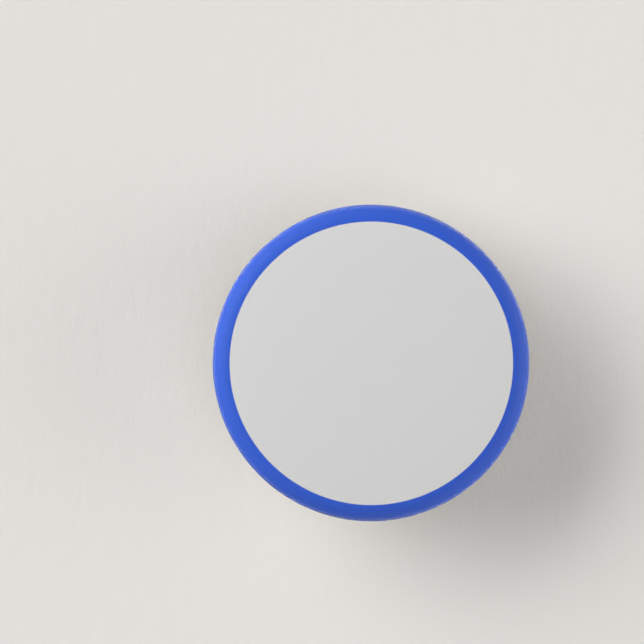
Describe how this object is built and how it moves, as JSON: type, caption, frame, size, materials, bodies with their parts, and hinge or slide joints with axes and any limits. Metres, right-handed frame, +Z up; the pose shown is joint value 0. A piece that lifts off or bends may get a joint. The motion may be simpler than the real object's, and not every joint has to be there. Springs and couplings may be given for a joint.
{
  "type": "button badge",
  "caption": "Round crimped button badge: wrapped tinplate shell with a bordered blank face, stamped back plate and a spring wire pin with a hook.",
  "frame": {"origin": "on the badge's axis, in the plane of the back rim, where the cloth that it is pinned to lies", "axes": "upright as worn: the face looks along -Y, +Y is the back's outward normal, +Z is up, and the hook is on the +X side"},
  "size_m": [0.032, 0.0051, 0.032],
  "materials": {
    "shell_tinplate": "bare tinplate",
    "printed_paper": "printed, grey face with a blue border and a white wrap",
    "clear_film": "clear, soft gloss",
    "plate_tinplate": "bright tinplate with a fine straight grain",
    "spring_wire": "bright plated spring wire"
  },
  "bodies": {
    "badge": {"front_shell": "shell_tinplate", "printed_paper": "printed_paper", "clear_film": "clear_film", "back_plate": "plate_tinplate", "wire_frame": "spring_wire"},
    "pin": {"pin_arm": "spring_wire"}
  },
  "joints": [
    {"name": "pin_open", "type": "hinge", "parent": "badge", "child": "pin", "pos_m": [-0.0094, -0.00158, -0.0007], "axis": [0.9471, 0.3077, -0.0912], "range_deg": [0, 150]}
  ]
}
